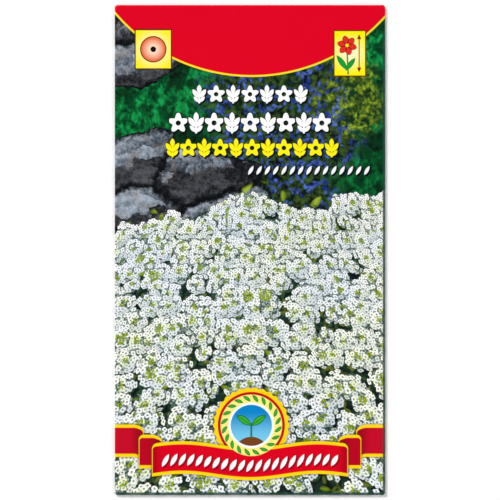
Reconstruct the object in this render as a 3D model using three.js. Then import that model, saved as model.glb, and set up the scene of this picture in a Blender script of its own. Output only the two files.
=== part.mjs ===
// A sealed seed packet lying on its back. Millimetres, +Z up.
//
// One sheet of printed paper is cut to a cross-shaped blank. Its two sides are folded under
// and glued up the back: a wide back panel from the left, and a narrow tab from the right that
// closes over it on the outside. The end flaps are then folded under and glued, which leaves a
// flat pillow with loose seed in it.
//
// The printed front faces +Z, its width runs along X and its top edge is at +Y. The origin is
// under the middle of the packet, on the surface that the two end flaps lie on.

import * as THREE from 'three';

// Driving dimensions.
const packetWidth = 80;
const packetHeight = 145;
const crownRise = 1.5; // how far the filled front stands above its creased edges
const crownShoulder = 0.75; // share of the way to the middle over which it rises
const paper = 1 / 8; // thickness of the sheet
const glue = 1 / 16; // thickness of a strip of glue

const tabWidth = 10;
const tabTaper = 0.035; // share of its length that the tab loses towards its free edge
const bottomFlapDepth = 12;
const topFlapDepth = 15;
const flapTaper = 0.05; // share of its width that a flap loses towards its free edge
const backEdgeGap = 1.4; // from the back panel's free edge to the packet's right side
const backEndGap = 1; // from the back panel's ends to the packet's ends
const stepWidth = 1.5; // the back panel climbs on to the tab over this width
const stepClearance = 0.625; // from the top of that climb to the tab's free edge

const seedBedWidth = 38;
const seedBedLength = 44;
const seedBedDepth = 0.65;
const seedBedCentre = new THREE.Vector2(-4, -30);

// Heights of the middle of the paper, from the surface that the packet lies on. The flaps are
// lowest, the tab and the back panel lie on their glue, and the front closes the pillow.
const halfPaper = paper / 2;
const flapLevel = halfPaper;
const backLevel = flapLevel + paper + glue;
const overTabLevel = backLevel + paper + glue;
const frontEdgeLevel = overTabLevel + 3.5 * paper;

// The folds are half circles of paper. Between them the front is flat paper, apart from its crown.
const sideFold = foldBetween(frontEdgeLevel, backLevel);
const endFold = foldBetween(frontEdgeLevel, flapLevel);
const frontSide = packetWidth / 2 - sideFold.radius - halfPaper;
const frontEnd = packetHeight / 2 - endFold.radius - halfPaper;
const panelEnd = packetHeight / 2 - backEndGap;

const backEdge = packetWidth / 2 - backEdgeGap;
const tabEdge = frontSide - tabWidth;
const stepTop = tabEdge - stepClearance;
const stepFoot = stepTop - stepWidth;

// How finely the blank is divided.
const foldSteps = 4;
const frontColumns = 12;
const frontRows = 18;
const backColumns = 7;
const flapRows = 2;
const bedSegments = 24;
const bedRings = 4;

function foldBetween(upper, lower) {
  const radius = (upper - lower) / 2;
  return { radius, centre: lower + radius, length: Math.PI * radius };
}

// Even divisions of a stretch, both ends included.
function divide(from, to, parts) {
  return Array.from({ length: parts + 1 }, (_, i) => from + ((to - from) * i) / parts);
}

// A rise from 0 to 1 that starts and ends level.
function easeIn(t) {
  const clamped = THREE.MathUtils.clamp(t, 0, 1);
  return clamped * clamped * (3 - 2 * clamped);
}

// Height of the middle of the front's paper. It leaves every crease level.
function frontLevel(x, y) {
  const fromSide = easeIn((frontSide - Math.abs(x)) / (frontSide * crownShoulder));
  const fromEnd = easeIn((frontEnd - Math.abs(y)) / (frontEnd * crownShoulder));
  return frontEdgeLevel + crownRise * fromSide * fromEnd;
}

// Where the sheet goes once it has run `past` a crease: round the fold, then back under the front.
// `out` is measured outward from the crease, and the slope is that of the printed side.
function roundFold(fold, past) {
  const angle = Math.min(past / fold.radius, Math.PI);
  const under = Math.max(past - fold.length, 0);
  return {
    out: fold.radius * Math.sin(angle) - under,
    level: under > 0 ? fold.centre - fold.radius : fold.centre + fold.radius * Math.cos(angle),
    outward: under > 0 ? 0 : Math.sin(angle),
    upward: under > 0 ? -1 : Math.cos(angle),
    under,
  };
}

// The back panel lies level, and steps up to lie on the tab.
function backStep(x, under) {
  if (under === 0) return 0;
  return (overTabLevel - backLevel) * THREE.MathUtils.clamp((x - stepFoot) / stepWidth, 0, 1);
}

// Folds one point of the flat blank. The blank's middle is the front, and u and v run across and
// up it. Returns the point on the middle of the paper and the direction that the print faces.
function foldBlank(u, v) {
  const end = Math.abs(v) - frontEnd;
  if (end > 0) return foldFlap(u, Math.sign(v), end);
  const side = Math.abs(u) - frontSide;
  if (side > 0) return u < 0 ? foldBack(v, side) : foldTab(v, side);
  return { point: new THREE.Vector3(u, v, frontLevel(u, v)), facing: new THREE.Vector3(0, 0, 1) };
}

function foldFlap(u, sign, past) {
  const { out, level, outward, upward, under } = roundFold(endFold, past);
  const depth = sign < 0 ? bottomFlapDepth : topFlapDepth;
  const x = u * (1 - (flapTaper * under) / depth);
  return {
    point: new THREE.Vector3(x, sign * (frontEnd + out), level),
    facing: new THREE.Vector3(0, sign * outward, upward),
  };
}

function foldBack(v, past) {
  const { out, level, outward, upward, under } = roundFold(sideFold, past);
  const x = -(frontSide + out);
  return {
    point: new THREE.Vector3(x, v, level + backStep(x, under)),
    facing: new THREE.Vector3(-outward, 0, upward),
  };
}

function foldTab(v, past) {
  const { out, level, outward, upward, under } = roundFold(sideFold, past);
  const y = v * (1 - (tabTaper * under) / tabWidth);
  return {
    point: new THREE.Vector3(frontSide + out, y, level),
    facing: new THREE.Vector3(outward, 0, upward),
  };
}

// The lines that divide the blank across its width: back panel, left fold, front, right fold, tab.
function blankColumns() {
  const step = divide(stepTop, stepFoot, 2);
  const back = [backEdge, ...step, ...divide(stepFoot, -frontSide, backColumns).slice(1)];
  const leftFold = divide(frontSide + sideFold.length, frontSide, foldSteps).slice(1);
  const rightFold = divide(frontSide, frontSide + sideFold.length, foldSteps).slice(1);
  return [
    ...back.map((x) => -(frontSide + sideFold.length + frontSide + x)),
    ...leftFold.map((run) => -run),
    ...divide(-frontSide, frontSide, frontColumns).slice(1),
    ...rightFold,
    frontSide + sideFold.length + tabWidth,
  ];
}

// The lines that divide it along its height: bottom flap, its fold, front, top fold, top flap.
function blankRows() {
  const flap = (depth) => [
    frontEnd,
    ...divide(frontEnd, frontEnd + endFold.length, foldSteps).slice(1),
    ...divide(frontEnd + endFold.length, frontEnd + endFold.length + depth, flapRows).slice(1),
  ];
  return [
    ...flap(bottomFlapDepth).reverse().map((run) => -run),
    ...divide(-panelEnd, panelEnd, frontRows),
    ...flap(topFlapDepth),
  ];
}

// The blank is a cross: its sides are only as long as the panels, its ends only as wide as the front.
function isPaper(u, v) {
  return Math.abs(u) < frontSide || Math.abs(v) < panelEnd;
}

// One closed solid: the printed face, the plain face and the cut edges of a folded blank.
function foldedSheet(columns, rows) {
  const positions = [];
  const triangles = [];
  const corners = new Map();

  const corner = (column, row, print) => {
    const key = `${column} ${row} ${print}`;
    if (!corners.has(key)) {
      const { point, facing } = foldBlank(columns[column], rows[row]);
      point.addScaledVector(facing, print ? halfPaper : -halfPaper);
      corners.set(key, positions.length / 3);
      positions.push(...point.toArray());
    }
    return corners.get(key);
  };
  const addQuad = (a, b, c, d) => triangles.push(a, b, c, a, c, d);
  const hasCell = (column, row) => {
    if (column < 0 || row < 0 || column >= columns.length - 1 || row >= rows.length - 1) return false;
    return isPaper((columns[column] + columns[column + 1]) / 2, (rows[row] + rows[row + 1]) / 2);
  };
  const addCell = (column, row) => {
    const around = [[column, row], [column + 1, row], [column + 1, row + 1], [column, row + 1]];
    const print = around.map(([i, j]) => corner(i, j, true));
    const plain = around.map(([i, j]) => corner(i, j, false));
    const neighbours = [[column, row - 1], [column + 1, row], [column, row + 1], [column - 1, row]];
    addQuad(print[0], print[1], print[2], print[3]);
    addQuad(plain[3], plain[2], plain[1], plain[0]);
    neighbours.forEach(([i, j], side) => {
      const next = (side + 1) % 4;
      if (!hasCell(i, j)) addQuad(plain[side], plain[next], print[next], print[side]);
    });
  };

  for (let column = 0; column < columns.length - 1; column += 1) {
    for (let row = 0; row < rows.length - 1; row += 1) {
      if (hasCell(column, row)) addCell(column, row);
    }
  }
  const geometry = new THREE.BufferGeometry();
  geometry.setAttribute('position', new THREE.Float32BufferAttribute(positions, 3));
  geometry.setIndex(triangles);
  geometry.computeVertexNormals();
  return geometry;
}

function sheetMesh() {
  const mesh = new THREE.Mesh(foldedSheet(blankColumns(), blankRows()), printedPaper);
  mesh.name = 'folded_sheet';
  return mesh;
}

// A flat strip of glue between two faces of the paper.
function glueStrip(name, width, length, x, y, under) {
  const mesh = new THREE.Mesh(new THREE.BoxGeometry(width, length, glue), driedGlue);
  mesh.name = name;
  mesh.position.set(x, y, under + glue / 2);
  return mesh;
}

function glueStrips() {
  const tabFace = backLevel + halfPaper;
  const flapFace = flapLevel + halfPaper;
  const sideWidth = tabWidth - 3;
  const sideLength = 2 * panelEnd - 8;
  const endWidth = packetWidth - 8;
  const bottomDepth = bottomFlapDepth - 3;
  const topDepth = topFlapDepth - 3;
  const outerEdge = packetHeight / 2 - 2; // of both end strips
  const bottomY = bottomDepth / 2 - outerEdge;
  const topY = outerEdge - topDepth / 2;
  return [
    glueStrip('side_glue', sideWidth, sideLength, tabEdge + tabWidth / 2, 0, tabFace),
    glueStrip('bottom_glue', endWidth, bottomDepth, 0, bottomY, flapFace),
    glueStrip('top_glue', endWidth, topDepth, 0, topY, flapFace),
  ];
}

// The loose seed, as the low oval bed that it makes on the back panel.
function seedBed() {
  const bank = divide(0, Math.PI / 2, bedRings).map(
    (angle) => new THREE.Vector2(Math.cos(angle) / 2, seedBedDepth * Math.sin(angle)),
  );
  bank[bedRings].x = 0; // the top closes on the axis
  const bed = new THREE.LatheGeometry([new THREE.Vector2(0, 0), ...bank], bedSegments);
  bed.rotateX(Math.PI / 2);
  bed.scale(seedBedWidth, seedBedLength, 1);
  const mesh = new THREE.Mesh(bed, seedCoat);
  mesh.name = 'seeds';
  mesh.position.set(seedBedCentre.x, seedBedCentre.y, backLevel + halfPaper);
  return mesh;
}

const printedPaper = new THREE.MeshStandardMaterial({ color: 0xb3bcab, roughness: 0.42, metalness: 0 });
const driedGlue = new THREE.MeshStandardMaterial({ color: 0xe9e4d2, roughness: 0.5, metalness: 0 });
const seedCoat = new THREE.MeshStandardMaterial({ color: 0x9a5a2c, roughness: 0.7, metalness: 0 });

const seedPacket = new THREE.Group();
seedPacket.name = 'seed_packet';
seedPacket.add(sheetMesh(), ...glueStrips(), seedBed());

export default seedPacket;
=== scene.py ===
import math
import random
from functools import partialmethod
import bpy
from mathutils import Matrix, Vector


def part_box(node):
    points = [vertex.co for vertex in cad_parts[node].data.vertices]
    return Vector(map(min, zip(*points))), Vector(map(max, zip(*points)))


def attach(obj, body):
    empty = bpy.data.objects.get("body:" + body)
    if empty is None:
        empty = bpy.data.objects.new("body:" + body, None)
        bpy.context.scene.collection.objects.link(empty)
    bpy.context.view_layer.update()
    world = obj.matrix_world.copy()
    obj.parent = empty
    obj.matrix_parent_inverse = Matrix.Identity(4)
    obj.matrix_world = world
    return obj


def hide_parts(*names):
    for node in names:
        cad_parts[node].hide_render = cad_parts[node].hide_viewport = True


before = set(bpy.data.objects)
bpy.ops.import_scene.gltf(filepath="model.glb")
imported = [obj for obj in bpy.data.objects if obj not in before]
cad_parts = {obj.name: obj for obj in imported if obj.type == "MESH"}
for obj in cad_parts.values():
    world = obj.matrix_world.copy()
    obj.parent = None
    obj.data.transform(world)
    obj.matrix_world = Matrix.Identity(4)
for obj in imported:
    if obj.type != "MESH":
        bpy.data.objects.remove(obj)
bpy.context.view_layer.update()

from types import SimpleNamespace as Look  # reads the entries of a dictionary as look.name

import bpy
from mathutils import Matrix, Vector, noise

mm = 0.001
fullTurn = 2 * math.pi
crisp = 0.01  # how soft an edge is, in millimetres of print
inkEdge = 0.05
softEdge = 0.08
white = (255, 255, 255)


class Wire:
    # what a node puts out, so that formulas read as formulas
    def __init__(self, node, result=0):
        self.node = node
        self.tree = node.id_data
        self.socket = node.outputs[result]

    def __getitem__(self, result):
        return Wire(self.node, result)

    def maths(self, operation, *others, **settings):
        kind = "Math" if self.socket.type == "VALUE" else "VectorMath"
        return addNode(self.tree, kind, (self, *others), operation=operation, **settings)

    __add__ = __radd__ = partialmethod(maths, "ADD")
    __sub__ = partialmethod(maths, "SUBTRACT")
    __rsub__ = partialmethod(maths, "MULTIPLY_ADD", -1)
    __mul__ = __rmul__ = partialmethod(maths, "MULTIPLY")
    __truediv__ = partialmethod(maths, "DIVIDE")
    __mod__ = partialmethod(maths, "FLOORED_MODULO")
    __abs__ = partialmethod(maths, "ABSOLUTE")


def ink(part):
    # red, green or blue, from 0 to 255, as a renderer wants it
    part /= 255
    return part / 12.92 if part <= 0.04045 else ((part + 0.055) / 1.055) ** 2.4


def feed(node, entries):
    # entries go in by name or in order; a spot on the flat needs only two numbers
    for key, value in entries.items() if isinstance(entries, dict) else enumerate(entries):
        socket = node.inputs[key]
        if isinstance(value, Wire):
            node.id_data.links.new(value.socket, socket)
        elif socket.type == "RGBA":
            socket.default_value = (*map(ink, value), 1)
        elif isinstance(value, tuple) and len(value) == 2:
            socket.default_value = (*value, 0)
        else:
            socket.default_value = value


def addNode(tree, kind, entries=(), **settings):
    node = tree.nodes.new("ShaderNode" + kind)
    for name, value in settings.items():
        setattr(node, name, value)
    feed(node, entries)
    return Wire(node)


def joinXY(x, y):
    return addNode(x.tree, "CombineXYZ", (x, y))


def splitXY(place):
    parts = addNode(place.tree, "SeparateXYZ", (place,))
    return parts[0], parts[1]


def scaled(place, factor):
    return addNode(place.tree, "VectorMath", {0: place, "Scale": factor}, operation="SCALE")


def turned(place, angle):
    entries = {"Vector": place, "Angle": angle}
    return addNode(place.tree, "VectorRotate", entries, rotation_type="Z_AXIS")


def lengthOf(place, y=None):
    # of a place, or of its x and y
    place = place if y is None else joinXY(place, y)
    return place.maths("LENGTH")["Value"]


def smaller(first, second):
    return first.maths("MINIMUM", second)


def larger(first, second):
    return first.maths("MAXIMUM", second)


def within(distance, soft=inkEdge):
    # 1 inside a shape, where distances to its edge are negative, and 0 outside
    return distance.maths("MULTIPLY_ADD", -0.5 / soft, 0.5, use_clamp=True)


def ramp(value, low, high, atLow=0, atHigh=1, kind="SMOOTHSTEP"):
    entries = (value, low, high, atLow, atHigh)
    return addNode(value.tree, "MapRange", entries, interpolation_type=kind)


def mixInks(mask, under, over, blend="MIX"):
    entries = {0: mask, 6: under, 7: over}
    return addNode(mask.tree, "Mix", entries, data_type="RGBA", blend_type=blend)[2]


def cloud(place, scale, detail=3, roughness=0.5, dimensions="2D"):
    entries = {"Vector": place, "Scale": scale, "Detail": detail, "Roughness": roughness}
    return addNode(place.tree, "TexNoise", entries, noise_dimensions=dimensions)


def roughened(place, size, amount):
    # moved a little, now one way and now another, to break up straight edges
    return place + scaled(cloud(place, 1 / size)["Color"] - (0.5, 0.5), amount)


def cells(place, scale, jitter, feature="F1"):
    entries = {"Vector": place, "Scale": scale, "Randomness": jitter}
    return addNode(place.tree, "TexVoronoi", entries, voronoi_dimensions="2D", feature=feature)


def chances(grid):
    # three numbers from 0 to 1 that a cell has drawn
    parts = addNode(grid.tree, "SeparateColor", (grid["Color"],))
    return parts[0], parts[1], parts[2]


def lens(place, spot, angle, halfLength, halfWidth):
    # distance to a pointed leaf or petal, where two circles overlap
    bow = (halfLength ** 2 + halfWidth ** 2) / (2 * halfWidth)
    x, y = splitXY(turned(place - spot, -angle))
    return lengthOf(x, abs(y) + (bow - halfWidth)) - bow


def block(place, spot, halfWidth, halfHeight, corner=0.3):
    # distance to a box with rounded corners
    out = abs(place - spot) - (halfWidth - corner, halfHeight - corner)
    beyond = lengthOf(out.maths("MAXIMUM", (0, 0)))
    return beyond + smaller(larger(*splitXY(out)), 0) - corner


class Picture:
    # a print that gets one layer of ink after another
    def __init__(self, colour):
        self.colour = colour

    def lay(self, mask, colour, blend="MIX"):
        self.colour = mixInks(mask, self.colour, colour, blend)

    def draw(self, distance, colour, soft=inkEdge):
        self.lay(within(distance, soft), colour)

    def drawRimmed(self, distance, rim, rimColour, colour):
        self.draw(distance, rimColour)
        self.draw(distance + rim, colour)

    def tie(self, place):
        # The same place, tied to the picture so far. A renderer has little room for values, and
        # this way it finishes each layer of ink before it starts the next.
        return self.colour.maths("MULTIPLY_ADD", (1e-9, 1e-9, 1e-9), place)


def newGroup(name, places, values, results):
    group = bpy.data.node_groups.new(name, "ShaderNodeTree")
    rows = (places, "INPUT", "Vector"), (values, "INPUT", "Float"), (results, "OUTPUT", "Float")
    for labels, way, kind in rows:
        for label in labels.split():
            group.interface.new_socket(label, in_out=way, socket_type="NodeSocket" + kind)
    given = Wire(group.nodes.new("NodeGroupInput"))
    made = group.nodes.new("NodeGroupOutput")

    def finish(**outputs):
        feed(made, outputs)
        return group
    return finish, *(given[label] for label in (places + " " + values).split())


def useGroup(group, place, **entries):
    return addNode(place.tree, "Group", {"place": place, **entries}, node_tree=group)


# Effects that more than one material uses

def makePaperGrain():
    # the felted surface of paper: fine fibre, and wide uneven blotches
    entries = newGroup("paperGrain", "place", "fibres blotches", "fibre blotch")
    finish, place, fibres, blotches = entries
    fibre = cloud(place, fibres, 4, 0.6, "3D")
    return finish(fibre=fibre, blotch=cloud(place, blotches, 2, 0.6, "3D"))


def makeCreaseWear(panel):
    # a broken pale line along each crease, where folding has cracked the coating
    finish, place, width = newGroup("creaseWear", "place", "width", "wear")
    x, y = splitXY(abs(place))
    fromSide = abs(x - (panel.sideTuck + panel.frontSide) / 2 / mm)
    fromEnd = abs(y - (panel.endTuck + panel.frontEnd) / 2 / mm)
    near = smaller(fromSide, fromEnd) / width
    broken = cloud(place, 1 / 0.9, 5, 0.7)
    return finish(wear=ramp(near - (broken * 3.6 - 1.8), 0.1, 0.6, 1, 0))


def makeMottle():
    # for what has dried or ripened unevenly
    finish, place, scale, contrast = newGroup("mottle", "place", "scale contrast", "value")
    value = (cloud(place, scale, 6, 0.65, "3D") - 0.5) * contrast
    return finish(value=value.maths("ADD", 0.5, use_clamp=True))


def makeLeafLayer():
    # a scatter of pointed leaves at all angles, each with a light and a dark half
    entries = newGroup("leafLayer", "place shift", "scale length chance soft", "leaf tone")
    finish, place, shift, scale, length, chance, soft = entries
    moved = place + shift
    grid = cells(moved, scale, 1)
    spin, light, luck = chances(grid)
    size = length * (light * 0.5 + 0.7)
    x, y = splitXY(turned(moved - grid["Position"], spin * fullTurn))
    bow, waist = 1.506, 1.126  # for a leaf that is 0.38 as wide as it is long
    edge = lengthOf(x / size, abs(y) / size + waist) - bow
    leaf = within(edge / soft, 1) * within(luck - chance, crisp)
    halves = (y / size).maths("MULTIPLY_ADD", 4, 0.5, use_clamp=True)
    tone = light * 0.55 + halves * 0.25 + ramp(edge, -0.38, 0, 0.2, 0)
    return finish(leaf=leaf, tone=tone)


def paintLeaves(art, mask, place, group, pitch, dark, light, glow=1, **leaves):
    layer = useGroup(group, art.tie(place), scale=1 / pitch, **leaves)
    art.lay(layer["leaf"] * mask, mixInks(layer["tone"] * glow, dark, light))


# The print on the front, in millimetres from its middle. Colours are red, green and blue to 255.

garden = dict(
    # what shows behind the bed; sizes has the shift, pitch and length of each scatter
    dark=(5, 14, 12), green=(0, 88, 42), olive=(66, 92, 40),
    foliage=dict(
        soft=0.2, chance=0.8, dark=(0, 34, 18), light=(22, 174, 84),
        sizes=(((2, 31), 3.6, 3.2), ((13, 7), 2.8, 2.6), ((31, 3), 2, 1.9))),
    bladeSquash=(1.5, 1),  # which makes the foliage upright blades
    shrubSpot=(29, 43), shrubGround=(18, 40, 22),
    shrub=dict(
        soft=0.45, chance=0.62, dark=(26, 60, 22), light=(184, 210, 48),
        sizes=(((3, 3), 2.1, 1.2), ((9, 21), 1.7, 1), ((23, 12), 1.3, 0.8))),
    flowers=dict(
        soft=0.35, chance=0.46, dark=(26, 46, 134), light=(104, 136, 234),
        sizes=(((5, 2), 1.5, 0.9), ((19, 8), 1.7, 1.05), ((7, 33), 2, 0.85))),
)


def paintGarden(place, leafLayer, look):
    x, y = splitXY(place)
    wide = cloud(place, 1 / 13, 4)
    fine = cloud(place, 1 / 2.2, 5, 0.65)
    glow = ramp(cloud(place, 1 / 3.4, 2), 0.36, 0.62, 0.12, 1)
    lit = ramp(wide, 0.36, 0.52) * ramp(y - abs(x) * 0.35, 10, 30, 0.3, 1)
    mask = ramp(fine, 0.30, 0.60) * (lit * 0.7 + 0.3)
    art = Picture(mixInks(mask, look.dark, look.green))
    across = x + wide * 20 - 10
    middle = ramp(across, -16, -6) * ramp(across, 34, 22)
    dim = mixInks(ramp(fine, 0.38, 0.70), look.dark, look.olive)
    shrub = ramp(lengthOf(place - look.shrubSpot) - wide * 16, 6, -1)
    clumps = ramp(cloud(place, 1 / 6), 0.40, 0.52) * middle * 0.92

    def scatter(mask, place, sizes, **leaves):
        for shift, pitch, length in sizes:
            leaves.update(shift=shift, pitch=pitch, length=length)
            paintLeaves(art, mask, place, leafLayer, glow=glow, **leaves)
    scatter(lit, roughened(place, 5, 2.5) * look.bladeSquash, **look.foliage)
    art.lay(middle * 0.9, dim)
    art.lay(shrub * 0.85, look.shrubGround)
    scatter(shrub, place, **look.shrub)
    scatter(clumps, place, **look.flowers)
    return art


stones = dict(
    # a heap of weathered boulders at one side, lit from above
    pitch=19, squash=(0.85, 1.25),
    shift=(388, -171),  # which part of the endless heap shows
    lean=-0.28,
    top=((36, 46, 58), (178, 190, 204)),  # its darker and lighter grain
    face=((10, 12, 16), (92, 94, 100)),
    warm=(140, 124, 112), gap=(8, 12, 14),
    heapEdge=-11, heapLean=0.30, heapTop=40,
    ledge=52,  # above this height another row of stones shows
    ledgeEdge=-8,
)


def paintStones(art, place, look):
    # each boulder has a pale top and a dark face below it, with a ragged ridge between them
    place = art.tie(place)
    squashed = turned(roughened(place, 7, 4.2), look.lean) * look.squash + look.shift
    grid = cells(squashed, 1 / look.pitch, 0.8)
    edge = cells(squashed, 1 / look.pitch, 0.8, "DISTANCE_TO_EDGE")
    own = chances(grid)[0]
    rise = splitXY(squashed - grid["Position"])[1]
    facet = chances(cells(roughened(place, 3, 2.5) * (1, 1.7), 0.17, 1))[0]
    grain = cloud(place, 1 / 1.6, 8, 0.75)
    speckle = grain * 0.85 + cloud(place, 1 / 0.45, 2, 0.7) * 0.25 + facet * 0.30
    ridge = rise * 0.1 + facet * 0.45 + own * 0.3 + grain * 0.5 - 0.5
    top = mixInks(ramp(speckle + ridge * 0.40, 0.54, 1.36), *look.top)
    top = mixInks(ramp(cloud(place, 1 / 4), 0.5, 0.7) * 0.35, top, look.warm)
    face = mixInks(ramp(speckle, 0.44, 1.04), *look.face)
    stone = mixInks(ramp(ridge, -0.08, 0.10), face, top)
    stone = mixInks(ramp(edge + grain * 0.20 - 0.10, 0.12, 0.01), stone, look.gap)
    centre = (grid["Position"] - look.shift) / look.squash
    x, y = splitXY(turned(centre, -look.lean))
    heap = larger(x + (y - 20) * look.heapLean - look.heapEdge, y - look.heapTop)
    ledge = larger(look.ledge - y, x - look.ledgeEdge)
    art.draw(smaller(heap, ledge), stone, crisp)


bed = dict(
    # the bed of white blossoms, drawn smaller towards its far side
    headPitch=6.9, headStray=0.9, headRadius=4,
    grown=0.80,  # the share of heads that are full size
    dwarfed=2.4,  # how many times narrower the smallest of the others is
    fuller=0.032,  # how much wider the heads far off spread
    hillTop=15, hillDrop=11,
    nearY=-72.5,
    fade=0.43 / 88.5,  # how much smaller things are for each millimetre further off
    petal=white, petalShade=(156, 176, 186), youngPetal=(240, 246, 196),
    eye=(84, 98, 78), youngEye=(150, 166, 60),
    bud=(190, 206, 34), budShade=(84, 112, 4), budPitch=0.82,
    soil=(12, 22, 22), soilLight=(28, 48, 40),
    underPetals=(200, 213, 212), underShade=(64, 86, 78), shadow=(24, 40, 38),
    warmTint=(250, 253, 238), coolTint=(242, 248, 255),
    leaves=dict(pitch=2.4, length=1.7, soft=0.1),
    leafKinds=(
        dict(shift=(4.1, 9.3), chance=0.8, dark=(16, 34, 26), light=(54, 90, 54)),
        dict(shift=(41.7, 3.9), chance=0.45, dark=(30, 38, 16), light=(112, 122, 44)),
    ),
    paleLeaves=dict(
        pitch=6, length=1.7, chance=0.08, soft=0.2, dark=(60, 90, 8), light=(136, 164, 24)),
    tallLeaves=dict(
        shift=(7, 3), pitch=4.5, length=2.5, chance=0.5, soft=0.1,
        dark=(60, 92, 12), light=(176, 196, 54)),
    layers=(
        dict(shift=(0, 0), pitch=2.2, size=1.1, spread=4, chance=0.86, bright=0.80),
        dict(shift=(31.7, 12.9), pitch=2.3, size=1.16, spread=3.8, chance=0.86, bright=1),
        dict(shift=(58.3, 47.1), pitch=2.4, size=1.22, spread=3.5, chance=0.42, bright=1),
    ),
)


def nearAndFar(place, look):
    # places are stretched so that what is drawn on them shrinks towards the far side
    x, y = splitXY(place)
    scale = 1 - (y - look.nearY) * look.fade
    return joinXY(x / scale, scale.maths("LOGARITHM", math.e) * (-1 / look.fade))


def printSpot(spot, look):
    # the other way round: where a place of the bed lies on the print
    x, y = splitXY(spot)
    scale = (y * -look.fade).maths("EXPONENT")
    return x * scale, scale.maths("MULTIPLY_ADD", -1 / look.fade, 1 / look.fade + look.nearY)


def overHill(x, y, look):
    # how far a place of the print lies above the bed's far edge
    wave = (x * 0.19 + 1.1).maths("SINE") * 1.5 + (x * 0.43).maths("SINE") * 0.7
    return y - wave + ramp(x, -6, -42) * look.hillDrop - look.hillTop


def nearestHead(place, look):
    head = cells(place, 1 / look.headPitch, look.headStray)
    spot = head["Position"]
    level, luck, _ = chances(head)
    planted = within(overHill(*printSpot(spot, look), look), crisp)
    smallness = ramp(luck, look.grown, 1, 1, look.dwarfed, "LINEAR")
    return level, scaled(place - spot, smallness), planted


def makeBlossomLayer(look):
    # one scatter of four-petalled blossoms, gathered into domed heads that buds fill in the middle
    values, results = "scale size spread chance", "petals tone eye halo young"
    entries = newGroup("blossomLayer", "place shift", values, results)
    finish, place, shift, scale, size, spread, chance = entries
    grid = cells(place + shift, scale, 0.6)
    spin, vigour, stray = chances(grid)
    centre = grid["Position"] - shift
    level, away, planted = nearestHead(centre, look)
    far = lengthOf(away)
    outward = away.maths("NORMALIZE")
    lean = far / look.headRadius
    side, up = splitXY(outward)
    local = place - centre
    x, y = splitXY(local)
    along = local.maths("DOT_PRODUCT", outward)["Value"] * (lean * lean * 0.45 + 1)
    petalPlace = turned(joinXY(along, x * up - y * side), spin * fullTurn)
    x, y = splitXY(abs(petalPlace))
    young = ramp(far - stray, 1.9, 0.4)
    size = size * (vigour * 0.28 + 0.86) * (young * -0.22 + 1)
    major, minor = larger(x, y) / size, smaller(x, y) / size
    reach = lengthOf(major, minor)
    petal = lengthOf((major - 0.56) / 0.44, minor / 0.50) - 1
    depth = splitXY(centre)[1]
    beyond = far - spread - depth * look.fuller - (stray * 2.4 - 1.2)
    kept = within(beyond, crisp) * planted * within(0.75 - far, crisp)
    kept = kept * within((vigour * 7.3) % 1 - chance, crisp)
    lit = outward.maths("DOT_PRODUCT", (-0.45, 0.9))["Value"] * lean
    tone = ramp(reach, 0.2, 0.55, 0.8, 1) * (vigour * 0.16 + 0.92)
    tone = tone * (lit * 0.40 + 0.90 + level * 0.16)
    halo = ramp(reach, 0.80, 1.30, 1, 0) * kept
    petals, eye = within(petal, 0.12) * kept, ramp(reach, 0.43, 0.17)
    return finish(petals=petals, tone=tone, eye=eye, halo=halo, young=young)


def paintBlossoms(art, field, group, look, pitch, bright, **layer):
    blossoms = useGroup(group, art.tie(field), scale=1 / pitch, **layer)
    art.lay(blossoms["halo"] * 0.38, look.shadow, "MULTIPLY")
    petals = mixInks(blossoms["young"] * 0.8, look.petal, look.youngPetal)
    petals = mixInks(blossoms["tone"] * bright, look.petalShade, petals)
    eye = mixInks(blossoms["young"], look.eye, look.youngEye)
    petals = mixInks(blossoms["eye"] * 0.85, petals, eye)
    art.lay(blossoms["petals"], petals)


def paintUnderPetals(art, field, look):
    # lower blossoms, too deep in a head to be made out
    field = art.tie(field)
    _, away, planted = nearestHead(field, look)
    depth = splitXY(field)[1]
    ragged = cloud(field, 1 / 1.3, 4, 0.7) * 5 - 2.5
    filled = ramp(lengthOf(away) - depth * look.fuller + ragged, 3.7, 2.1) * planted
    spots = cells(field, 1.15, 1)
    light = chances(spots)[0]
    spots = ramp(spots, 0.15, 0.6, 1, 0) * (light * 0.5 + 0.5)
    art.lay(filled * 0.92, mixInks(spots, look.underShade, look.underPetals))


def paintBuds(art, field, look):
    # tight yellow-green buds in the middle of each head
    field = art.tie(field)
    grid = cells(field, 1 / look.budPitch, 0.75)
    light, vigour, stray = chances(grid)
    local = field.maths("DISTANCE", grid["Position"])["Value"]
    full, away, planted = nearestHead(grid["Position"], look)
    reach = full * 0.7 + ramp(full, 0.93, 0.99) * 1.3 + 0.46
    kept = within(lengthOf(away) - reach - stray * 0.7, crisp) * planted
    domed = ramp(local, 0.08, 0.42, 1, 0) * (light * 0.6 + 0.4)
    bud = mixInks(domed, look.budShade, look.bud)
    art.lay(within(local - vigour * 0.14 - 0.34, 0.08) * kept, bud)


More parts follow.
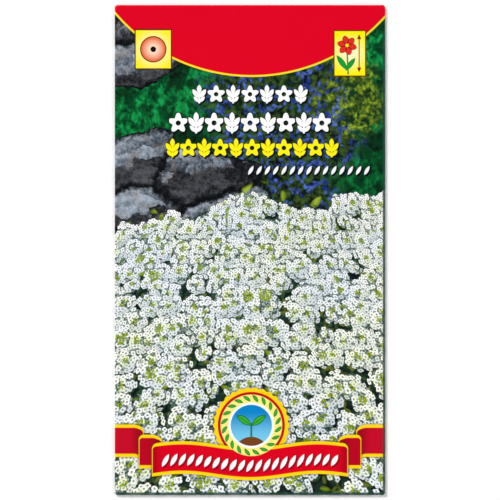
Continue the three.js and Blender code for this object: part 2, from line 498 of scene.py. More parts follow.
def paintBed(art, place, leafLayer, look):
    field = nearAndFar(place, look)
    above = overHill(*splitXY(place), look)
    fringe = ramp(abs(above + 0.5), 4, 2.5)
    paintLeaves(art, fringe, place, leafLayer, **look.tallLeaves)
    grounded = within(above + cloud(field, 1 / 2.6) * 3 - 0.4, 0.6)
    patches = ramp(cloud(field, 1 / 4), 0.4, 0.62)
    art.lay(grounded, mixInks(patches, look.soil, look.soilLight))
    for kind in look.leafKinds:
        paintLeaves(art, grounded, field, leafLayer, **look.leaves, **kind)
    paintUnderPetals(art, field, look)
    blossomLayer = makeBlossomLayer(look)
    for layer in look.layers:
        paintBlossoms(art, field, blossomLayer, look, **layer)
        pale = dict(look.paleLeaves, shift=layer["shift"])
        paintLeaves(art, grounded, field, leafLayer, **pale)
    paintBuds(art, field, look)
    broad = ramp(cloud(art.tie(place), 1 / 22), 0.35, 0.65)
    art.lay(grounded * 0.8, mixInks(broad, look.warmTint, look.coolTint), "MULTIPLY")


header = dict(
    arcCentre=(0.5, 104.4), arcRadius=53, line=0.28,
    red=(221, 0, 33), yellow=(250, 222, 40),
)


def paintHeader(art, place, look):
    away = lengthOf(art.tie(place) - look.arcCentre) - look.arcRadius
    art.draw(away - look.line, look.yellow)
    art.draw(away + look.line, look.red)


def paintTile(art, place, look):
    place = art.tie(place)
    glow = ramp(lengthOf(place - look.spot), look.glow, 0)
    field = mixInks(glow, look.yellow, look.cream)
    art.drawRimmed(block(place, look.spot, *look.half), look.rim, look.outline, field)


sunTile = dict(
    # sow in full sun
    spot=(-28.6, 59.35), half=(5.55, 6),
    glow=6.9, rim=0.36,
    yellow=(253, 236, 28), cream=(255, 252, 214), outline=(60, 28, 10),
    sun=(232, 98, 52), sunMiddle=(255, 226, 196),
    radius=3.9, dot=0.85, black=(20, 12, 10),
)


def paintSun(art, place, look):
    paintTile(art, place, look)
    away = lengthOf(art.tie(place) - look.spot)
    radius, dot = look.radius, look.dot
    disc = mixInks(ramp(away, radius * 0.9, dot, kind="LINEAR"), look.sun, look.sunMiddle)
    art.drawRimmed(away - radius, look.rim * 0.75, look.outline, disc)
    art.draw(away - dot, look.black)


heightTile = dict(
    # how tall the plant grows: a flower with an arrow beside it
    spot=(29.52, 58.15), half=(4.85, 6.9),
    glow=6.6, rim=0.34,
    yellow=(250, 238, 6), cream=(255, 248, 200), outline=(112, 34, 8),
    flower=(28.7, 60.5), petals=6,
    petalReach=1.5, petalWidth=1,
    petalRim=0.16, leafRim=0.14,
    red=(226, 46, 34), redShade=(140, 14, 12),
    green=(20, 156, 52), greenShade=(8, 96, 40),
    leaves=(((-1.5, -5.1), 2.2, 2.7, 0.80), ((0.95, -5.6), 0.90, 2.4, 0.74)),
    arrow=(2.75, 5.3, 0.14),  # how far right of the middle, half length and half width
    arrowHead=1.1,
)


def paintFlowerHeight(art, place, look):
    paintTile(art, place, look)
    place = art.tie(place)
    local = place - look.flower
    x, y = splitXY(local)
    plant = larger(abs(x + 0.1 + y * 0.05) - 0.2, abs(y + 4.4) - 4.2)
    for leaf in look.leaves:
        plant = smaller(plant, lens(local, *leaf))
    art.drawRimmed(plant, look.leafRim, look.greenShade, look.green)
    step = fullTurn / look.petals
    around = y.maths("ARCTAN2", x) + step / 2 + 0.25
    away = lengthOf(x, y)
    toAxis = around % step - step / 2
    petal = joinXY(away * toAxis.maths("COSINE"), away * toAxis.maths("SINE"))
    reach = look.petalReach
    bloom = lens(petal, (reach, 0), 0, reach, look.petalWidth)
    seam = ramp(away * (step / 2 - abs(toAxis)), 0.25, 0.05) * ramp(away, 2.2, 1.2)
    red = mixInks(seam, look.red, look.redShade)
    art.drawRimmed(bloom, look.petalRim, look.redShade, red)
    art.draw(away - 0.5, look.yellow)
    right, halfLength, halfWidth = look.arrow
    x, y = splitXY(abs(place - (look.spot[0] + right, look.spot[1])))
    head = larger(x + y * 0.45 - halfLength * 0.45 - 0.15, (halfLength - look.arrowHead) - y)
    arrow = smaller(larger(x - halfWidth, y - halfLength), head)
    art.draw(arrow, look.redShade, 0.03)


motifs = dict(
    # rows of blossoms and sprigs where a name would stand: middle, how many, pitch, height, colour
    rows=(
        ((0, 46), 7, 5, 5.6, white),
        ((0, 37.5), 9, 5.3, 6.4, white),
        ((0.6, 30.1), 11, 4.7, 5.7, (255, 240, 20)),
    ),
    leafRow=((17.4, 23.5), 15, 2.45, 2.9, (250, 252, 255)),
    shadow=(6, 8, 8), shadowOffset=(-0.35, 0.4), halo=0.3,
)


def makeRow(name, drawMotif):
    # distance to a row of motifs, each drawn in shares of the row's height
    finish, place, pitch, height, count = newGroup(name, "place", "pitch height count", "distance")
    x, y = splitXY(place)
    index = (x / pitch + 0.5).maths("FLOOR")
    local = joinXY(x - index * pitch, y)
    motif = drawMotif(scaled(local, height.maths("POWER", -1)), index)
    return finish(distance=larger(motif * height, abs(index) * 2 - count))


def drawBlossomOrSprig(local, index):
    # five-petalled blossoms with a leafy sprig between each two
    x, y = splitXY(local)
    away = lengthOf(x, y)
    blossom = away - ((x.maths("ARCTAN2", y) * 5).maths("COSINE") * 0.10 + 0.37)
    blossom = larger(blossom, 0.12 - away)
    beside = joinXY(abs(x), y)
    upper = lens(beside, (0.19, 0.04), 0.95, 0.27, 0.12)
    lower = lens(beside, (0.15, -0.27), 0.80, 0.20, 0.09)
    top = lens(beside, (0, 0.27), math.pi / 2, 0.23, 0.12)
    stalk = larger(abs(x) - 0.045, abs(y + 0.14) - 0.34)
    sprig = smaller(smaller(smaller(upper, lower), top), stalk)
    return addNode(x.tree, "Mix", {0: abs(index) % 2, 2: blossom, 3: sprig}, data_type="FLOAT")


def drawSlantingLeaf(local, _):
    return lens(local, (0, 0), 1.05, 0.52, 0.17)


def paintRow(art, group, place, row, shadow):
    # one row of motifs with a dark rim and a shadow below it
    spot, count, pitch, height, colour = row
    over = art.tie(place) - spot
    for local in (over + motifs["shadowOffset"], over):
        distance = useGroup(group, local, pitch=pitch, height=height, count=count)
        art.lay(ramp(distance, motifs["halo"], 0), shadow)
    art.draw(distance, colour, 0.06)


def paintMotifs(art, place, motifRow, leafRow, look):
    for row in look.rows:
        paintRow(art, motifRow, place, row, look.shadow)
    paintRow(art, leafRow, place, look.leafRow, look.shadow)


ribbon = dict(
    # tiers from back to front: from and to across, middle and half height, red
    tiers=(
        ((31.4, 60), -56.4, 4.8, (196, 10, 38)),
        ((26, 32.9), -59.6, 5, (184, 4, 32)),
        ((-1, 29), -62.3, 4.85, (221, 0, 30)),
    ),
    border=0.95, endBorder=0.2,
    curl=1.5,  # radius of the upper corners
    wave=0.95, waveLength=40,
    droop=0.7,  # how far an outer tier's inner end hangs down
    shade=(120, 0, 22), yellow=(252, 214, 16), outline=(60, 40, 10),
    leafRow=((0, -0.6), 21, 2.5, 3.9, white), leafShadow=(158, 0, 22),
)


def tierEdge(run, level, start, stop, halfHeight, corner):
    # distance to a stretch of ribbon, round at its upper corners and square below
    middle, halfRun = (start + stop) / 2, (stop - start) / 2
    tall = block(joinXY(run, level), (middle, -corner), halfRun, halfHeight + corner, corner)
    return larger(tall, -1 * level - halfHeight)


def paintRibbon(art, place, leafRow, look):
    for (start, stop), middle, halfHeight, red in look.tiers:
        x, y = splitXY(art.tie(place))
        run = abs(x)
        if start < 0:
            bend = (run * (fullTurn / look.waveLength)).maths("COSINE") * look.wave
            fold = ramp(run, stop - 3.5, stop - 0.2)
        else:
            bend = ramp(run, start + 3, start) * look.droop
            fold = ramp(run, start + 4.5, start + 1.2)
        level = y - middle + bend
        edge = tierEdge(run, level, start, stop, halfHeight, look.curl)
        start, stop = start + look.endBorder, stop - look.endBorder
        halfHeight -= look.border
        inner = tierEdge(run, level, start, stop, halfHeight, look.curl * 0.6)
        art.lay(ramp(edge, 0.7, 0) * 0.55, look.outline)
        art.draw(edge, look.yellow, softEdge)
        art.draw(inner, mixInks(fold * 0.55, red, look.shade), softEdge)
    paintRow(art, leafRow, joinXY(x, level), look.leafRow, look.leafShadow)


rosette = dict(
    spot=(0.4, -51.8), radius=11.1,
    scallops=30, scallopDepth=0.22,
    redRing=9.9, leafRing=9.1, whiteRing=6.8, window=6.1, leaves=20,
    yellow=(252, 214, 16), paleYellow=(250, 240, 130), red=(196, 12, 24),
    green=(60, 176, 50), greenShade=(16, 104, 40), white=(255, 255, 252),
    sky=(6, 134, 204), skyLow=(120, 204, 236),
    soil=(118, 66, 30), shadow=(20, 24, 20),
)


def paintRosetteRim(art, place, look):
    # the scalloped edge of the seal, which the ribbon crosses
    x, y = splitXY(art.tie(place) - look.spot)
    away = lengthOf(x, y)
    scallop = (y.maths("ARCTAN2", x) * look.scallops).maths("COSINE") * look.scallopDepth
    rim = away - scallop - look.radius
    art.lay(ramp(rim, 0.8, 0) * 0.55, look.shadow)
    art.draw(rim, look.yellow, softEdge)
    art.draw(away - look.redRing, look.red, softEdge)


def paintRosette(art, place, look):
    # the seal, with a ring of leaves and a young plant in it
    local = art.tie(place) - look.spot
    x, y = splitXY(local)
    away = lengthOf(x, y)
    art.draw(away - look.leafRing, look.paleYellow, softEdge)
    middle = (look.leafRing + look.whiteRing) / 2 + 0.1
    step = fullTurn / look.leaves
    around = (y.maths("ARCTAN2", x) + math.pi) % step
    unrolled = joinXY(around * middle - step * middle / 2, away - middle)
    leaf = lens(unrolled, (0, 0), 0.75, 1.35, 0.52)
    art.drawRimmed(leaf, 0.2, look.greenShade, look.green)
    art.draw(away - look.whiteRing, look.white)
    sky = mixInks(ramp(y, 4.5, -4.5), look.sky, look.skyLow)
    art.draw(away - look.window, sky)
    mound = larger(lengthOf(local - (0, -8.6)) - 5.2, away - look.window)
    art.draw(mound, look.soil)
    paintSprout(art, local, look)


def paintSprout(art, local, look):
    # a seedling with two leaves, about 8 mm across
    x, y = splitXY(art.tie(local))
    beside = joinXY(abs(x), y)
    leafSpot, leafAngle = (2.15, 1.5), 0.62
    leaf = lens(beside, leafSpot, leafAngle, 2.7, 1.05)
    plant = smaller(larger(abs(x) - 0.28, abs(y + 1.6) - 2.2), leaf)
    art.drawRimmed(plant, 0.22, look.greenShade, look.green)
    fromRib = splitXY(turned(beside - leafSpot, -leafAngle))[1]
    art.draw(larger(leaf + 0.3, abs(fromRib) - 0.09), look.greenShade, 0.06)


# The print on the back, without lettering

backPrint = dict(
    white=(246, 246, 242), rule=(72, 150, 84),
    frameHalf=(31, 54), frameSpot=(0, -1.5), line=0.16,
    middle=-5,  # of what the glued tab leaves in sight, from the packet's middle
    months=12, monthPitch=4.75,
    monthSpot=(0, 40), monthHalf=2,
    sow=(3, 5),  # first and last month
    bloom=(6, 10),
    sowGreen=(110, 176, 92), bloomYellow=(248, 206, 60),
    picturePitch=20, pictureY=20, pictureRadius=8.4,
    picturePale=(226, 240, 222), soil=(150, 104, 62),
    green=(70, 170, 62), greenShade=(28, 112, 48),
    water=(64, 160, 214), sun=(246, 190, 50),
    noteLines=5, notePitch=8, noteTop=-4,
)


def paintMonths(art, place, look):
    # a box for each month, filled for sowing and for flowering
    pitch, half = look.monthPitch, look.monthHalf
    x, y = splitXY(place - look.monthSpot)
    month = (x / pitch + look.months / 2).maths("FLOOR") + 1
    box = block(joinXY(x % pitch - pitch / 2, y), (0, 0), half, half, 0.4)
    box = larger(box, abs(x) - look.months * pitch / 2)
    fill = Picture(look.white)
    for (first, last), colour in ((look.bloom, look.bloomYellow), (look.sow, look.sowGreen)):
        fill.draw(abs(month - (first + last) / 2) - (last - first + 1) / 2, colour, crisp)
    art.drawRimmed(box, look.line * 1.3, look.rule, fill.colour)


def paintPictures(art, place, look):
    # three round pictures: a seedling in soil, a drop of water and the sun
    pitch, rim = look.picturePitch, look.line * 2
    for index in (-1, 0, 1):
        local = art.tie(place) - (index * pitch, look.pictureY)
        x, y = splitXY(local)
        away = lengthOf(x, y)
        window = away - look.pictureRadius
        art.drawRimmed(window, rim, look.rule, look.picturePale)
        if index < 0:
            ground = larger(window + rim, y + 3 + (x * 0.9).maths("SINE") * 0.25)
            art.draw(ground, look.soil)
            paintSprout(art, local, look)
        elif index == 0:
            cone = larger(abs(x) + (y - 4.6) * 0.56, -1.3 - y)
            art.draw(smaller(lengthOf(x, y + 1.6) - 3.2, cone), look.water)
            art.draw(lens(local, (-1.2, -1.9), 2, 1.3, 0.35), look.white)
        else:
            rays = (y.maths("ARCTAN2", x) * 12).maths("COSINE") * 1.1
            art.draw(away - 4.7 - rays, look.sun)
            art.draw(abs(away - 3.1) - 0.2, look.picturePale)


def paintNoteLines(art, place, look):
    # ruled lines for the gardener's own notes
    x, y = splitXY(place - (0, look.noteTop))
    pitch, count = look.notePitch, look.noteLines
    line = abs((y + pitch / 2) % pitch - pitch / 2) - look.line * 0.8
    line = larger(line, abs(x) - look.frameHalf[0] + 4)
    line = larger(line, abs(y + (count - 1) / 2 * pitch) - count / 2 * pitch)
    art.lay(within(line) * 0.8, look.rule)


def paintBack(plan, _, panel):
    look = Look(**backPrint)
    u, v = splitXY(plan)
    place = joinXY(u + (panel.frontSide + panel.sideTuck) / mm + look.middle, v)
    art = Picture(look.white)
    frameEdge = block(place, look.frameSpot, *look.frameHalf, 1.5)
    art.draw(abs(frameEdge) - look.line, look.rule)
    paintMonths(art, place, look)
    paintPictures(art, place, look)
    paintNoteLines(art, art.tie(place), look)
    bare = larger(within(-1 * u, crisp), within(panel.panelEnd / mm - abs(v), crisp))
    art.lay(bare, look.white)
    return art.colour


# The sheet of paper

sheet = dict(
    paper=0.125 * mm, glue=0.0625 * mm,
    crownRise=1.5 * mm, crownShoulder=0.75,
    edgeGap=3.5 * 0.125 * mm,  # slack under the front at the creases
    tabWidth=10 * mm, tabTaper=0.035,
    bottomFlap=12 * mm, topFlap=15 * mm, flapTaper=0.05,
    backEdgeGap=1.4 * mm, backEndGap=1 * mm,
    stepWidth=1.5 * mm, stepClearance=0.625 * mm,
    bleed=0.9 * mm,  # how far the front's picture runs on behind a fold
    cell=1.15 * mm,  # how finely the paper is divided
    foldSteps=8, stepSteps=6,
    pucker=0.1 * mm,  # small waves along the folds
    dent=0.05,  # how uneven the crown is
    gloss=0.46, shine=0.06,
    plainRoughness=0.78, fibreHeight=0.006 * mm,
    worn=(244, 242, 236), fibreShade=(200, 200, 196),
    # shadowLine is painted shade along the front's right and lower folds
    shadowLine=(34, 70, 64), shadowLineWidth=1,
    inside=((238, 236, 228), (214, 210, 200)),
    edges=((240, 238, 232), (206, 202, 194)),
)


def readPanel(look):
    # the folded packet's levels and edges, from its box and the paper
    low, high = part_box("folded_sheet")
    half = look.paper / 2
    layer = look.paper + look.glue
    back = half + layer
    edge = back + layer + look.edgeGap
    halfWidth, halfHeight = (high.x - low.x) / 2, (high.y - low.y) / 2

    def foldOver(under):
        radius = (edge - under) / 2
        return Look(radius=radius, centre=under + radius, length=math.pi * radius)
    sideFold, endFold = foldOver(back), foldOver(half)
    frontSide = halfWidth - sideFold.radius - half
    frontEnd = halfHeight - endFold.radius - half
    stepTop = frontSide - look.tabWidth - look.stepClearance
    return Look(
        half=half, back=back, overTab=back + layer, edge=edge, sideFold=sideFold, endFold=endFold,
        frontSide=frontSide, frontEnd=frontEnd,
        sideTuck=frontSide + sideFold.length, endTuck=frontEnd + endFold.length,
        panelEnd=halfHeight - look.backEndGap, backEdge=halfWidth - look.backEdgeGap,
        stepTop=stepTop, stepFoot=stepTop - look.stepWidth)


def easeIn(t):
    t = min(max(t, 0), 1)
    return t * t * (3 - 2 * t)


def frontLevel(x, y, look, panel):
    # a flat pillow, level at its creases
    inX = panel.frontSide - abs(x)
    inY = panel.frontEnd - abs(y)
    fromSide = easeIn(inX / (panel.frontSide * look.crownShoulder))
    fromEnd = easeIn(inY / (panel.frontEnd * look.crownShoulder))
    crown = look.crownRise * fromSide * fromEnd
    dent = abs(noise.noise(Vector((x * 45, y * 30, 0.3)))) * look.dent * crown
    near = easeIn(inX / (3 * mm)) * math.exp(-inX / (9 * mm)) * easeIn(inY / (12 * mm))
    wave = noise.noise(Vector((math.copysign(2, x), y * 75, 1.7)))
    return panel.edge + crown - dent + look.pucker * near * wave


def roundFold(fold, past):
    # how far out and up a strip lies that has run this far past the start of a fold
    angle = min(past / fold.radius, math.pi)
    under = max(past - fold.length, 0)
    if under > 0:
        return -under, fold.centre - fold.radius, 0, -1, under
    sine, cosine = math.sin(angle), math.cos(angle)
    return fold.radius * sine, fold.centre + fold.radius * cosine, sine, cosine, 0


def foldBlank(u, v, look, panel):
    # where a point of the flat blank lies on the packet, and which way its printed side faces
    touching = 1e-9
    end = abs(v) - panel.frontEnd
    side = abs(u) - panel.frontSide
    if end > touching and side <= touching:
        out, level, outward, upward, under = roundFold(panel.endFold, end)
        depth = look.bottomFlap if v < 0 else look.topFlap
        x = u * (1 - look.flapTaper * under / depth)
        sign = math.copysign(1, v)
        return Vector((x, sign * (panel.frontEnd + out), level)), Vector((0, sign * outward, upward))
    if side <= touching:
        return Vector((u, v, frontLevel(u, v, look, panel))), Vector((0, 0, 1))
    out, level, outward, upward, under = roundFold(panel.sideFold, side)
    if u > 0:
        y = v * (1 - look.tabTaper * under / look.tabWidth)
        return Vector((panel.frontSide + out, y, level)), Vector((outward, 0, upward))
    x = -(panel.frontSide + out)
    if under > 0:
        level += (panel.overTab - panel.back) * easeIn((x - panel.stepFoot) / look.stepWidth)
    return Vector((x, v, level)), Vector((-outward, 0, upward))


def divideRun(start, stretches):
    # lines from the start to the end of each stretch, no further apart than its own cell
    lines = [start]
    for stop, cell in stretches:
        first = lines[-1]
        parts = max(1, math.ceil(abs(stop - first) / cell - 1e-6))
        lines += [first + (stop - first) * i / parts for i in range(1, parts + 1)]
    return lines


def blankLines(look, panel):
    # the lines that divide the blank across and along
    cell, side, end = look.cell, panel.frontSide, panel.frontEnd

    def pastFold(start, fold, *stretches):
        # round a fold, along the bleed, and on in stretches measured from the fold
        tuck = start + fold.length
        near = (tuck, fold.length / look.foldSteps), (tuck + look.bleed, cell)
        return divideRun(start, [*near, *((tuck + far, step) for far, step in stretches)])
    step = (side + panel.stepFoot, cell), (side + panel.stepTop, look.stepWidth / look.stepSteps)
    backSide = [-u for u in pastFold(side, panel.sideFold, *step, (side + panel.backEdge, cell))]
    front = divideRun(-side, [(side, cell)])[1:-1]
    tabSide = pastFold(side, panel.sideFold, (look.tabWidth, cell))
    bottom = [-v for v in pastFold(end, panel.endFold, (look.bottomFlap, cell))]
    middle = divideRun(-panel.panelEnd, [(panel.panelEnd, cell)])
    top = pastFold(end, panel.endFold, (look.topFlap, cell))
    return backSide[::-1] + front + tabSide, bottom[::-1] + middle + top


# Where each part of the paper lies on its texture map: left, bottom and scale, in shares of it
mapPlan = dict(
    front=(0.004, 0.004, 1), back=(0.575, 0.01, 0.5), tab=(0.86, 0.01, 0.5),
    top=(0.575, 0.52, 0.5), bottom=(0.575, 0.59, 0.5), inside=(0.575, 0.66, 0.25),
    edges=(0.91, 0.01), edgeCell=0.004, edgeColumns=20, unit=1 / (148.5 * mm),
)


def mapPlace(part, u, v, panel):
    left, bottom, scale = mapPlan[part]
    side, end, far = panel.sideTuck, panel.endTuck, panel.sideTuck + panel.frontSide + panel.backEdge
    foot = -end - sheet["bottomFlap"]
    u0, v0 = dict(
        front=(-side, -end), back=(-far, -panel.panelEnd), tab=(side, -panel.panelEnd),
        top=(-panel.frontSide, end), bottom=(-panel.frontSide, foot), inside=(-far, foot),
    )[part]
    scale *= mapPlan["unit"]
    return left + (u - u0) * scale, bottom + (v - v0) * scale


def mapEdge(count):
    # a small square of the map for each face of the cut edges
    cell = mapPlan["edgeCell"]
    left = mapPlan["edges"][0] + cell * (count % mapPlan["edgeColumns"])
    low = mapPlan["edges"][1] + cell * (count // mapPlan["edgeColumns"])
    right, high = left + cell * 0.9, low + cell * 0.9
    return [(left, low), (right, low), (right, high), (left, high)]


def partOf(u, v, panel):
    if abs(v) > panel.endTuck:
        return "top" if v > 0 else "bottom"
    if abs(u) > panel.sideTuck:
        return "tab" if u > 0 else "back"
    return "front"


def makeSheetMesh(look, panel, materials):
    # each face has corners, a material's number, and a place on the blank and on the texture map
    across, along = blankLines(look, panel)
    points, parts, known = [], [], {}

    def corner(i, j, side):
        # side is 1 on the printed face and -1 on the plain one
        if (i, j, side) not in known:
            point, facing = foldBlank(across[i], along[j], look, panel)
            known[i, j, side] = len(points)
            points.append(point + facing * panel.half * side)
        return known[i, j, side]

    def isPaper(i, j):
        u = abs(across[i] + across[i + 1]) / 2
        v = abs(along[j] + along[j + 1]) / 2
        return u < panel.frontSide or v < (panel.frontEnd if u < panel.sideTuck else panel.panelEnd)

    def mapped(part, flat):
        return [mapPlace(part, u, v, panel) for u, v in flat]
    spots = [(i, j) for i in range(len(across) - 1) for j in range(len(along) - 1)]
    paper = dict.fromkeys(spot for spot in spots if isPaper(*spot))
    edgeCount = 0
    for i, j in paper:
        ring = [(i, j), (i + 1, j), (i + 1, j + 1), (i, j + 1)]
        flat = [(across[a], along[b]) for a, b in ring]
        printed, plain = ([corner(a, b, side) for a, b in ring] for side in (1, -1))
        u, v = sum(u for u, _ in flat) / 4, sum(v for _, v in flat) / 4
        pictured = abs(u) < panel.sideTuck + look.bleed and abs(v) < panel.endTuck + look.bleed
        parts.append((printed, 0 if pictured else 1, flat, mapped(partOf(u, v, panel), flat)))
        parts.append((plain[::-1], 2, flat[::-1], mapped("inside", flat[::-1])))
        for side, beside in enumerate(((i, j - 1), (i + 1, j), (i, j + 1), (i - 1, j))):
            if beside not in paper:
                end = (side + 1) % 4
                quad = [plain[side], plain[end], printed[end], printed[side]]
                line = [flat[side], flat[end], flat[end], flat[side]]
                parts.append((quad, 3, line, mapEdge(edgeCount)))
                edgeCount += 1
    faces, slots, plans, maps = zip(*parts)
    mesh = newMesh("packet_sheet", points, faces, *materials)
    for name, spots in (("printPlan", plans), ("OFBake", maps)):
        layer = mesh.uv_layers.new(name=name)
        layer.uv.foreach_set("vector", [value for face in spots for spot in face for value in spot])
    mesh.polygons.foreach_set("material_index", slots)
    mesh.polygons.foreach_set("use_smooth", [slot < 3 for slot in slots])
    print("sheet:", len(faces), "faces,", edgeCount, "on the cut edges")
    return mesh


def addObject(name, data):
    thing = bpy.data.objects.new(name, data)
    bpy.context.scene.collection.objects.link(thing)
    return thing


def newMesh(name, points, faces, *materials):
    mesh = bpy.data.meshes.new(name)
    mesh.from_pydata(points, [], faces)
    for material in materials:
        mesh.materials.append(material)
    return mesh


def newMaterial(name):
    material = bpy.data.materials.new(name)
    material.use_nodes = True
    return material, material.node_tree, material.node_tree.nodes["Principled BSDF"]


def surfacePlace(tree):
    return scaled(addNode(tree, "TexCoord")["Object"], 1 / mm)


def finishCoat(shader, colour, rough, relief, depth, strength):
    entries = {"Height": relief, "Distance": depth, "Strength": strength}
    bump = addNode(shader.id_data, "Bump", entries)
    feed(shader, {"Base Color": colour, "Roughness": rough, "Normal": bump})


def startPaper(name, grain, wear, wearWidth, **entries):
    # what all sides of the sheet share
    material, tree, shader = newMaterial(name)
    plan = scaled(addNode(tree, "UVMap", uv_map="printPlan"), 1 / mm)
    paper = useGroup(grain, surfacePlace(tree), **entries)
    return material, shader, plan, paper, useGroup(wear, plan, width=wearWidth)


def coatPaper(name, paint, look, panel, grain, wear):
    # coated paper with a print on it, worn along the creases
    parts = startPaper(name, grain, wear, 0.22, fibres=3.5, blotches=0.1)
    material, shader, plan, paper, cracked = parts
    fibre = paper["fibre"]
    art = Picture(paint(plan, look, panel))
    art.lay(ramp(fibre, 0.35, 0.75) * 0.06, look.fibreShade, "MULTIPLY")
    art.lay(cracked * 0.3, look.worn)
    rough = paper["blotch"] * 0.10 + fibre * 0.06 + cracked * 0.2 + (look.gloss - 0.08)
    finishCoat(shader, art.colour, rough, fibre, look.fibreHeight, 0.5)
    feed(shader, {"Specular IOR Level": look.shine})
    return material


def plainPaper(name, colours, fibres, look, grain, wear):
    # uncoated paper: the inside of the sheet, and its cut edges
    parts = startPaper(name, grain, wear, 0.3, fibres=fibres, blotches=0.2)
    material, shader, _, paper, cracked = parts
    fibre = paper["fibre"]
    colour = mixInks(ramp(fibre, 0.3, 0.8) * 0.5 + paper["blotch"] * 0.3, *colours)
    colour = mixInks(cracked * 0.3, colour, colours[1])
    rough = fibre * 0.1 + look.plainRoughness
    finishCoat(shader, colour, rough, fibre, look.fibreHeight * 2, 0.7)
    return material


def paintFront(plan, look, panel):
    leafLayer = makeLeafLayer()
    motifRow = makeRow("motifRow", drawBlossomOrSprig)
    leafRow = makeRow("leafRow", drawSlantingLeaf)
    art = paintGarden(plan, leafLayer, Look(**garden))
    paintStones(art, plan, Look(**stones))
    paintBed(art, plan, leafLayer, Look(**bed))
    paintMotifs(art, plan, motifRow, leafRow, Look(**motifs))
    paintHeader(art, plan, Look(**header))
    paintSun(art, plan, Look(**sunTile))
    paintFlowerHeight(art, plan, Look(**heightTile))
    paintRosetteRim(art, plan, Look(**rosette))
    paintRibbon(art, plan, leafRow, Look(**ribbon))
    paintRosette(art, plan, Look(**rosette))
    # painted shade: a thin dark line along the right and lower folds, standing in for the shade
    # where the paper turns over
    x, y = splitXY(art.tie(plan))
    halfLine, past = look.shadowLineWidth / 2, 0.15
    rightLine = larger(abs(x - panel.frontSide / mm - past) - halfLine, y - 64)
    line = smaller(rightLine, abs(y + panel.frontEnd / mm + past) - halfLine)
    art.lay(within(line, 0.1) * 0.9, look.shadowLine)
    return art.colour


def makeSheet(look):
    panel = readPanel(look)
    grain = makePaperGrain()
    wear = makeCreaseWear(panel)
    front = coatPaper("printedFront", paintFront, look, panel, grain, wear)
    back = coatPaper("printedBack", paintBack, look, panel, grain, wear)
    inside = plainPaper("plainPaper", look.inside, 5, look, grain, wear)
    edges = plainPaper("cutEdge", look.edges, 12, look, grain, wear)
    piece = addObject("packet_sheet", makeSheetMesh(look, panel, (front, back, inside, edges)))
    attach(piece, "root")
    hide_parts("folded_sheet")


# The loose seed inside

grains = dict(
    length=1.55 * mm, width=1.05 * mm, thick=0.46 * mm,
    pitch=1.72 * mm, layers=2,
    stray=((-1, 1), (-1, 1), (-0.1, 0.3)),  # how far a grain lies off its row, each way
    seed=20, around=8, bands=5,
    brown=(196, 128, 62), darkBrown=(118, 62, 26), pit=(84, 44, 20),
)


def seedShape(look):
    # a flat oval grain, blunt at one end, as rings of points from one face to the other
    around, last = look.around, 1 + look.around * (look.bands - 1)
    points, faces = [Vector((0, 0, look.thick / 2))], []
    for band in range(1, look.bands):
        angle = math.pi * band / look.bands
        for turn in (fullTurn * step / around for step in range(around)):
            x, reach = math.cos(turn), math.sin(angle) ** 0.6 / 2
            y = math.sin(turn) * reach * look.width * (1 - 0.18 * x)
            points.append(Vector((x * reach * look.length, y, math.cos(angle) * look.thick / 2)))
    points.append(Vector((0, 0, -look.thick / 2)))
    for step in range(around):
        onward = (step + 1) % around
        faces.append((0, 1 + step, 1 + onward))
        for low in range(1, last - around, around):
            faces.append((low + step, low + around + step, low + around + onward, low + onward))
        faces.append((last - around + onward, last - around + step, last))
    return points, faces


def seedSpots(look, draw):
    # staggered rows in an oval bed that narrows towards its top layer
    low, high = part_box("seeds")
    middle = (low + high) / 2
    halfX = (high.x - low.x - look.length) / 2
    halfY = (high.y - low.y - look.length) / 2
    pitch, rowPitch = look.pitch, look.pitch * 0.87
    rows, columns = int(halfY * 2 / rowPitch) + 1, int(halfX * 2 / pitch) + 1
    for layer in range(look.layers):
        share, level = 1 - 0.42 * layer, low.z + look.thick * (0.55 + layer * 0.82)
        for row in range(-rows // 2, rows // 2 + 1):
            y = row * rowPitch + layer * 0.6 * mm
            for column in range(-columns // 2, columns // 2 + 1):
                x = (column + 0.5 * (row % 2) + 0.5 * layer) * pitch
                if (x / halfX) ** 2 + (y / halfY) ** 2 <= share ** 2:
                    stray = Vector([draw.uniform(*span) for span in look.stray]) * 0.07 * mm
                    yield Vector((middle.x + x, middle.y + y, level)) + stray


def makeSeeds(look, mottle):
    draw = random.Random(look.seed)
    shape, joints = seedShape(look)
    points, faces = [], []
    for spot in seedSpots(look, draw):
        turn = Matrix.Rotation(draw.uniform(0, fullTurn), 3, "Z") * draw.uniform(0.86, 1)
        faces += [[len(points) + i for i in face] for face in joints]
        points += [spot + turn @ point for point in shape]
    mesh = newMesh("loose_seed", points, faces, makeSeedCoat(look, mottle))
    mesh.polygons.foreach_set("use_smooth", [True] * len(faces))
    piece = addObject("loose_seed", mesh)
    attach(piece, "root")
    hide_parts("seeds")
    print("seed:", len(points) // len(shape), "grains")


def makeSeedCoat(look, mottle):
    material, tree, shader = newMaterial("seedCoat")
    place = surfacePlace(tree)
    coat = useGroup(mottle, place, scale=1.1, contrast=2.2)
    pits = useGroup(mottle, place, scale=9, contrast=1.6)
    colour = mixInks(coat, look.darkBrown, look.brown)
    colour = mixInks(pits * 0.35, colour, look.pit)
    finishCoat(shader, colour, pits * 0.2 + 0.55, pits, 0.03 * mm, 0.8)
    return material


paste = dict(
    # dried glue between the layers of paper
    strips=("side_glue", "bottom_glue", "top_glue"),
    clear=(226, 220, 200),
    chalky=(240, 237, 224),
)


def finishGlue(look, mottle):
    # the strips keep their shape
    material, tree, shader = newMaterial("driedGlue")
    value = useGroup(mottle, surfacePlace(tree), scale=0.6, contrast=1.8)
    colour = mixInks(value, look.clear, look.chalky)
    finishCoat(shader, colour, value * 0.25 + 0.35, value, 0.02 * mm, 0.6)
    for name in look.strips:
        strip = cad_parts[name]
        strip.data.materials.clear()
        strip.data.materials.append(material)


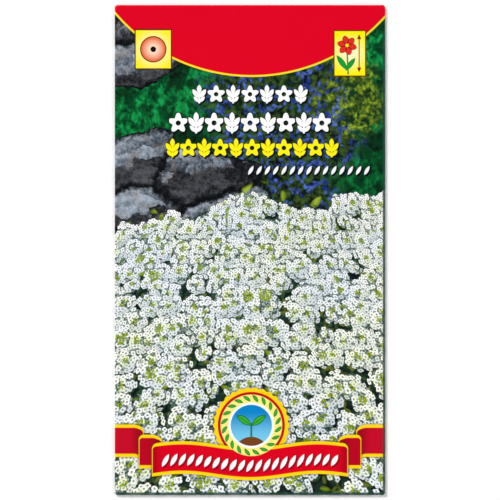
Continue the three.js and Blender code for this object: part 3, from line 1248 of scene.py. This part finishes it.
studio = dict(
    frameWidth=148.1 * mm,
    lens=135, sensor=36,
    floorSize=6, floorDrop=0.02 * mm, floorColour=white,
    lamps=dict(  # direction towards the lamp, share of the light, how wide it looks in degrees
        key=((-0.66, 0.78, 0.66), 0.56, 26),
        fill=((0.80, 0.25, 0.60), 0.18, 40),
        front=((-0.1, -0.95, 0.65), 0.13, 40),
    ),
    ambient=0.18, backdrop=1,
)


def makeCamera(look):
    camera = addObject("camera", bpy.data.cameras.new("camera"))
    camera.data.lens = look.lens
    camera.data.sensor_width = look.sensor
    camera.data.clip_start = 0.01
    camera.data.clip_end = 10
    camera.location.z = look.frameWidth * look.lens / look.sensor
    bpy.context.scene.camera = camera


def makeLight(look):
    for name, (place, share, width) in look.lamps.items():
        lamp = bpy.data.lights.new(name, "SUN")
        towards = Vector(place).normalized()
        lamp.energy = share * math.pi / towards.z
        lamp.angle = math.radians(width)
        addObject(name, lamp).rotation_euler = (-towards).to_track_quat("-Z", "Y").to_euler()
    world = bpy.data.worlds.new("studio")
    world.use_nodes = True
    nodes = world.node_tree.nodes
    feed(nodes["Background"], {"Color": white, "Strength": look.ambient})
    ambient = Wire(nodes["Background"])
    backdrop = addNode(world.node_tree, "Background", (white, look.backdrop))
    straight = addNode(world.node_tree, "LightPath")["Is Camera Ray"]
    seen = addNode(world.node_tree, "MixShader", (straight, ambient, backdrop))
    feed(nodes["World Output"], {"Surface": seen})
    bpy.context.scene.world = world
    bpy.context.scene.view_settings.view_transform = "Standard"


def makeFloor(look):
    half = look.floorSize / 2
    corners = [(-half, -half, 0), (half, -half, 0), (half, half, 0), (-half, half, 0)]
    material, _, shader = newMaterial("paleFloor")
    feed(shader, {"Base Color": look.floorColour, "Roughness": 0.9})
    floor = addObject("floor", newMesh("floor", corners, [(0, 1, 2, 3)], material))
    floor.location.z = -look.floorDrop


makeCamera(Look(**studio))
makeLight(Look(**studio))
makeFloor(Look(**studio))
print("studio ready")
makeSheet(Look(**sheet))
print("sheet ready")
mottle = makeMottle()
makeSeeds(Look(**grains), mottle)
finishGlue(Look(**paste), mottle)
print("seed and glue ready")
